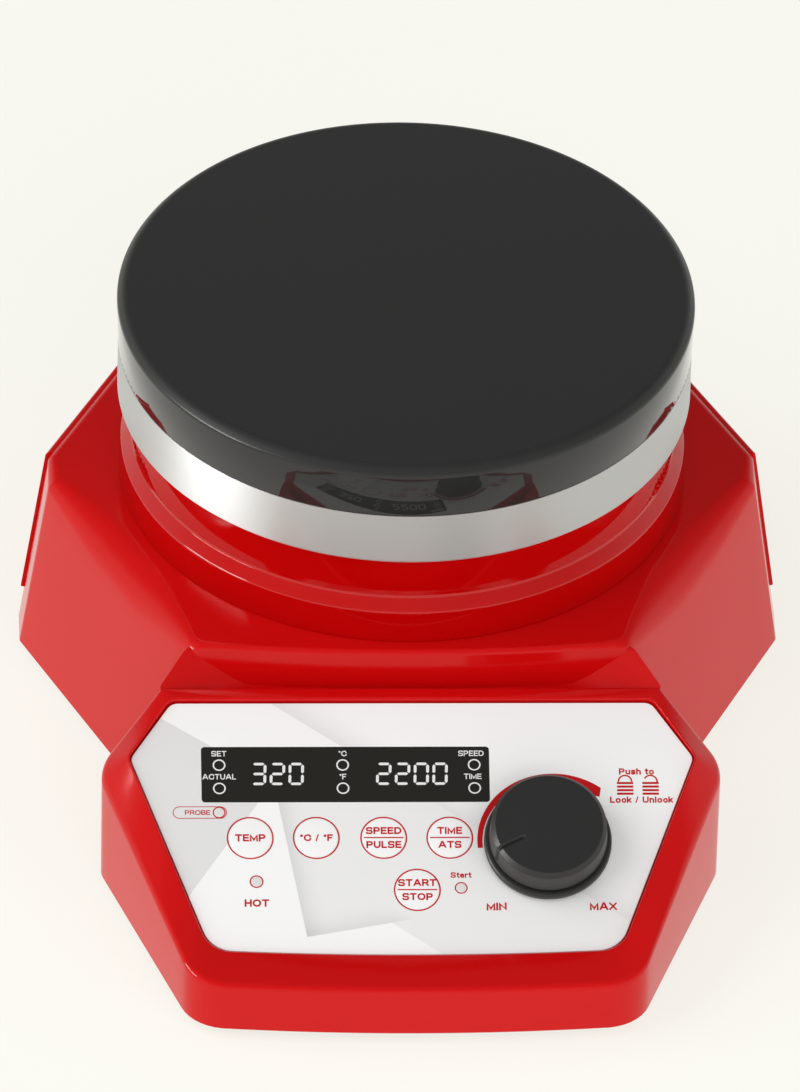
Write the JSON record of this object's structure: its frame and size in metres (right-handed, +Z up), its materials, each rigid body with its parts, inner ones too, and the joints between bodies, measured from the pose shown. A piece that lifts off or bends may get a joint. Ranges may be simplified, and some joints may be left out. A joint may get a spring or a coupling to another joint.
{
  "type": "magnetic stirrer",
  "caption": "Magnetic stirrer with a round black hot plate on a six-sided red housing and a sloping console with display, round keys and a push-and-turn knob.",
  "frame": {"origin": "centre of the footprint's bounding box, on the plane the rubber feet stand on", "axes": "+Z up; -Y towards the user, on the console's side; +X to the user's right; the plate's axis is vertical at X 0, Y +36.65 mm"},
  "size_m": [0.1784, 0.2284, 0.103],
  "materials": {
    "red_shell": "glossy moulded plastic",
    "red_collar": "glossy heat-resistant plastic",
    "plate_coating": "satin black coating on metal",
    "bright_trim": "satin turned",
    "printed_film": "satin printed film",
    "key_film": "satin printed film",
    "smoked_window": "dark glossy window",
    "lamp_lens": "clear lens",
    "knob_black": "satin black",
    "black_plastic": "fine texture",
    "base_paint": "fine texture powder coat",
    "foot_rubber": "matt",
    "zinc_screws": "zinc plated",
    "plain_steel": "bright",
    "motor_core": "laminated core with windings",
    "magnet_plate": "nickel plated",
    "carrier_aluminium": "machined",
    "fan_plastic": "moulded",
    "insulation": "fibre board",
    "lead_sleeve": "glass-fibre sleeve",
    "board_green": "circuit board",
    "nylon": "nylon",
    "transformer_core": "varnished core",
    "brass_pins": "nickel-plated brass"
  },
  "bodies": {
    "stirrer": {"upper_housing": "red_shell", "rear_cover": "red_shell", "neck_collar": "red_collar", "heating_plate": "plate_coating", "trim_ring": "bright_trim", "panel_overlay": "printed_film", "display_window": "smoked_window", "indicator_lamps": "lamp_lens", "rear_panel": "black_plastic", "mains_inlet": "black_plastic", "power_switch": "black_plastic", "display_module": "black_plastic", "encoder_body": "black_plastic", "key_switches": "black_plastic", "filter_capacitors": "black_plastic", "probe_socket": "black_plastic", "base_plate": "base_paint", "rubber_feet": "foot_rubber", "rear_panel_screws": "zinc_screws", "base_screws": "zinc_screws", "head_bolts": "zinc_screws", "drive_screws": "zinc_screws", "board_screws": "zinc_screws", "encoder_fixings": "zinc_screws", "rod_insert": "zinc_screws", "head_standoffs": "plain_steel", "heat_shield": "plain_steel", "element_clamp": "plain_steel", "plate_sensor": "plain_steel", "motor_can": "plain_steel", "motor_end_bell": "plain_steel", "motor_bearings": "plain_steel", "motor_bracket": "plain_steel", "motor_stator": "motor_core", "heat_sink": "carrier_aluminium", "insulation_disc": "insulation", "heating_element": "insulation", "heater_leads": "lead_sleeve", "control_board": "board_green", "power_board": "board_green", "board_spacers": "nylon", "panel_ribbon": "nylon", "transformer": "transformer_core", "inlet_pins": "brass_pins"},
    "drive": {"motor_shaft": "plain_steel", "motor_rotor": "plain_steel", "cooling_fan": "fan_plastic", "magnet_carrier": "carrier_aluminium", "drive_magnets": "magnet_plate"},
    "encoder_wheel": {"encoder_wheel": "black_plastic"},
    "knob": {"knob_cap": "knob_black", "knob_skirt": "knob_black", "encoder_shaft": "plain_steel"},
    "power_rocker": {"power_rocker": "black_plastic"},
    "fuse_drawer": {"fuse_drawer": "black_plastic"},
    "key_temperature": {"key_temperature": "key_film"},
    "key_units": {"key_units": "key_film"},
    "key_speed": {"key_speed": "key_film"},
    "key_time": {"key_time": "key_film"},
    "key_start": {"key_start": "key_film"}
  },
  "joints": [
    {"name": "drive_spin", "type": "hinge", "parent": "stirrer", "child": "drive", "pos_m": [0, 0.03665, 0.043], "axis": [0, 0, 1], "continuous": true},
    {"name": "knob_turn", "type": "hinge", "parent": "stirrer", "child": "encoder_wheel", "pos_m": [0.031, -0.07561, 0.02821], "axis": [0, -0.4226, 0.9063], "range_deg": [-259, 25]},
    {"name": "knob_push", "type": "slide", "parent": "encoder_wheel", "child": "knob", "axis": [0, 0.4226, -0.9063], "range_m": [0, 0.0008], "stiffness_N_per_m": 4000, "springref_m": -0.0002},
    {"name": "rocker_tip", "type": "hinge", "parent": "stirrer", "child": "power_rocker", "pos_m": [-0.006, 0.10165, 0.0265], "axis": [1, 0, 0], "range_deg": [0, 16]},
    {"name": "fuse_drawer_slide", "type": "slide", "parent": "stirrer", "child": "fuse_drawer", "axis": [0, 1, 0], "range_m": [0, 0.018]},
    {"name": "key_temperature_press", "type": "slide", "parent": "stirrer", "child": "key_temperature", "axis": [0, 0.4226, -0.9063], "range_m": [0, 0.00035], "stiffness_N_per_m": 4000, "springref_m": -0.0001},
    {"name": "key_units_press", "type": "slide", "parent": "stirrer", "child": "key_units", "axis": [0, 0.4226, -0.9063], "range_m": [0, 0.00035], "stiffness_N_per_m": 4000, "springref_m": -0.0001},
    {"name": "key_speed_press", "type": "slide", "parent": "stirrer", "child": "key_speed", "axis": [0, 0.4226, -0.9063], "range_m": [0, 0.00035], "stiffness_N_per_m": 4000, "springref_m": -0.0001},
    {"name": "key_time_press", "type": "slide", "parent": "stirrer", "child": "key_time", "axis": [0, 0.4226, -0.9063], "range_m": [0, 0.00035], "stiffness_N_per_m": 4000, "springref_m": -0.0001},
    {"name": "key_start_press", "type": "slide", "parent": "stirrer", "child": "key_start", "axis": [0, 0.4226, -0.9063], "range_m": [0, 0.00035], "stiffness_N_per_m": 4000, "springref_m": -0.0001}
  ]
}
